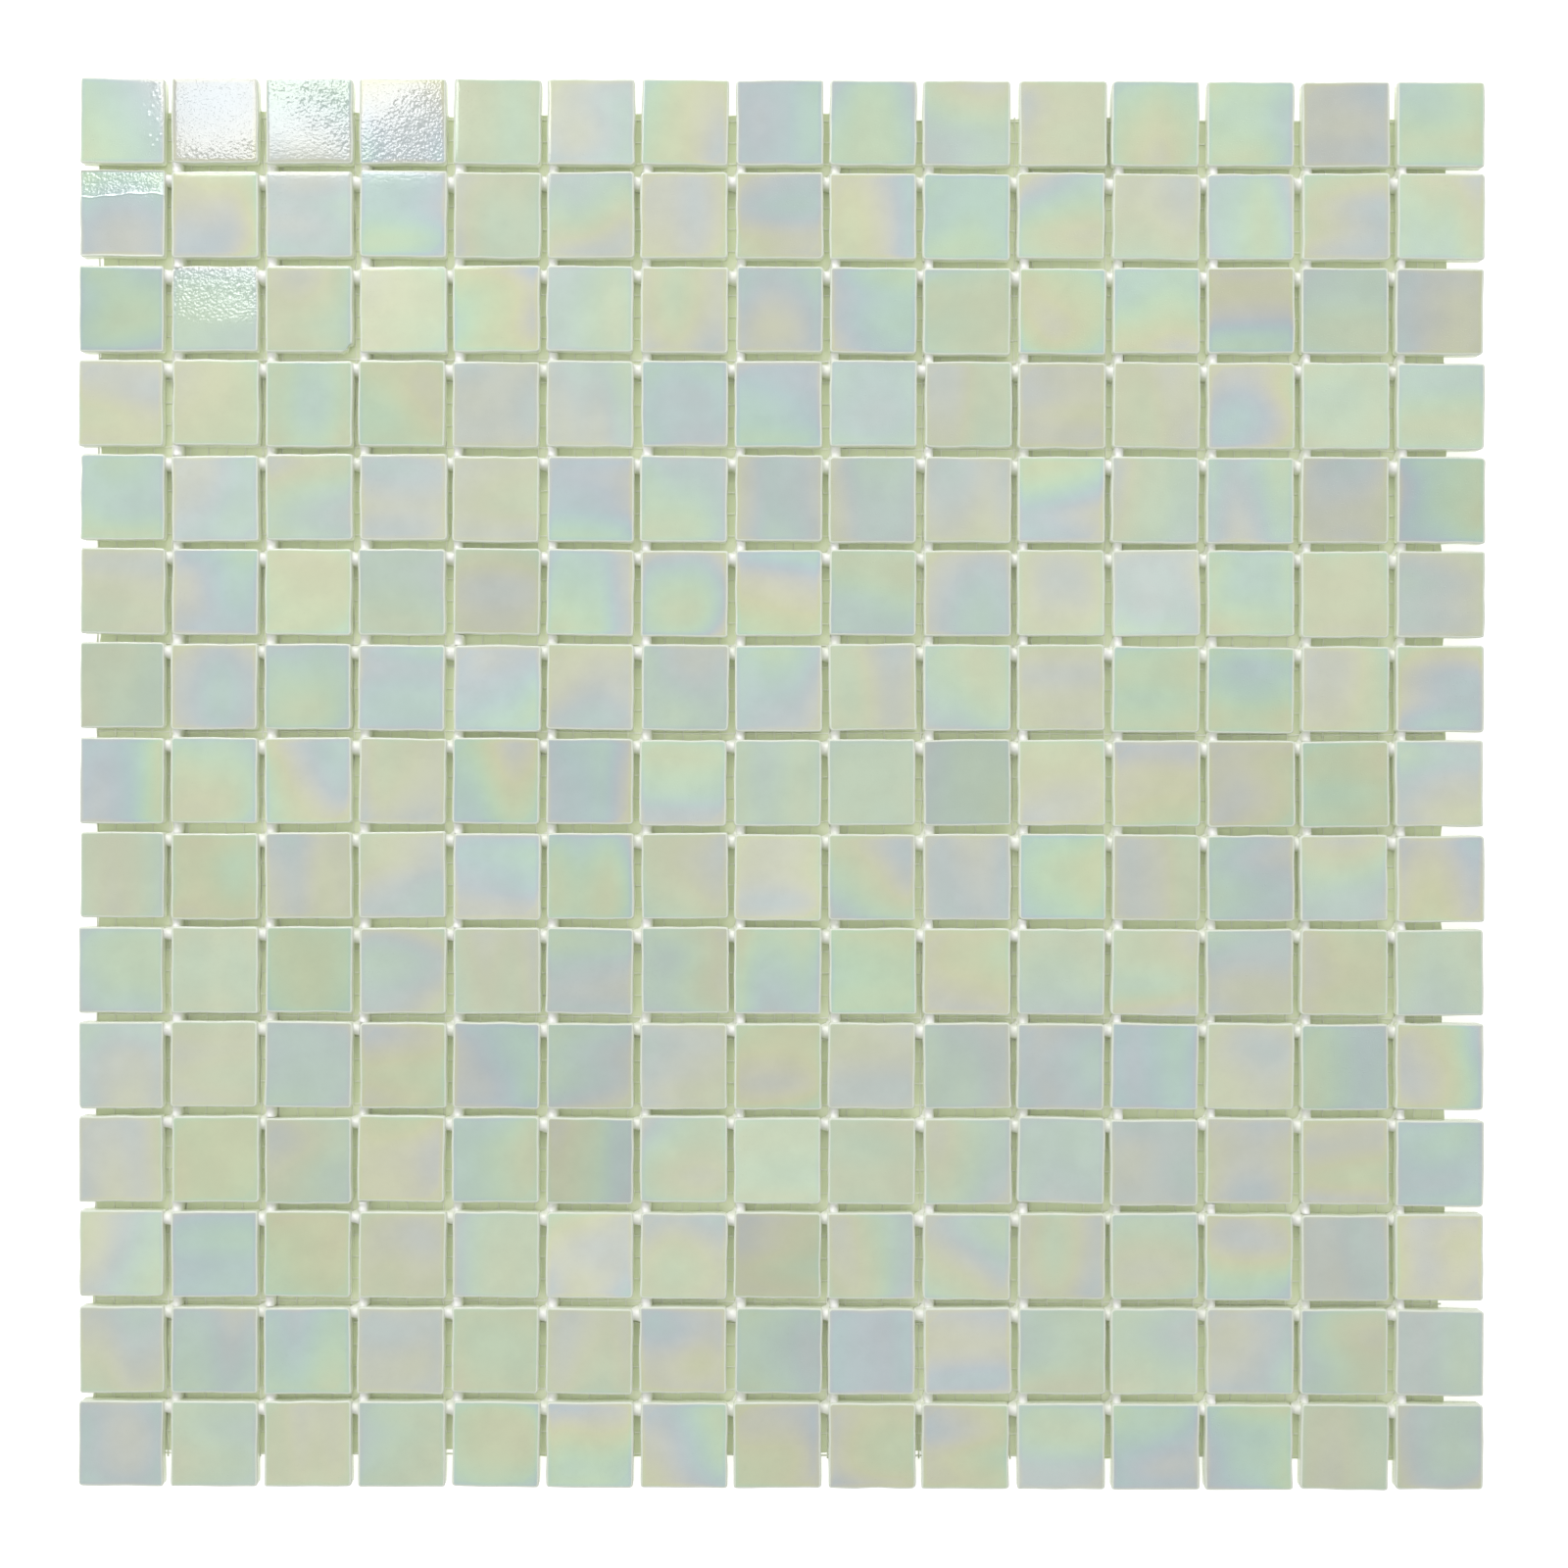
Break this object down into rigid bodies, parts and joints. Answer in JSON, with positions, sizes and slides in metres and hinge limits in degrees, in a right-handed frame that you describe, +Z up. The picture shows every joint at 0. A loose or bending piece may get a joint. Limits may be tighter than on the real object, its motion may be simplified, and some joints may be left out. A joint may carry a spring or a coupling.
{
  "type": "glass mosaic tile sheet",
  "caption": "Square sheet of small pearly pressed-glass mosaic tiles, held face up on a glass-fibre scrim with dots of glue in the joints.",
  "frame": {"origin": "middle of the underside", "axes": "+X along the tile rows, to the picture's right; +Y towards the top row; +Z up, out of the tiles' faces"},
  "size_m": [0.3252, 0.3252, 0.0044],
  "materials": {
    "tile_glass": "glossy opal glass with a pearly coating",
    "scrim": "resin-coated glass-fibre thread",
    "glue": "glossy white glue"
  },
  "bodies": {
    "root": {"tile_row_01": "tile_glass", "tile_row_02": "tile_glass", "tile_row_03": "tile_glass", "tile_row_04": "tile_glass", "tile_row_05": "tile_glass", "tile_row_06": "tile_glass", "tile_row_07": "tile_glass", "tile_row_08": "tile_glass", "tile_row_09": "tile_glass", "tile_row_10": "tile_glass", "tile_row_11": "tile_glass", "tile_row_12": "tile_glass", "tile_row_13": "tile_glass", "tile_row_14": "tile_glass", "tile_row_15": "tile_glass", "scrim_warp": "scrim", "scrim_weft": "scrim", "glue_dots": "glue"}
  },
  "joints": []
}
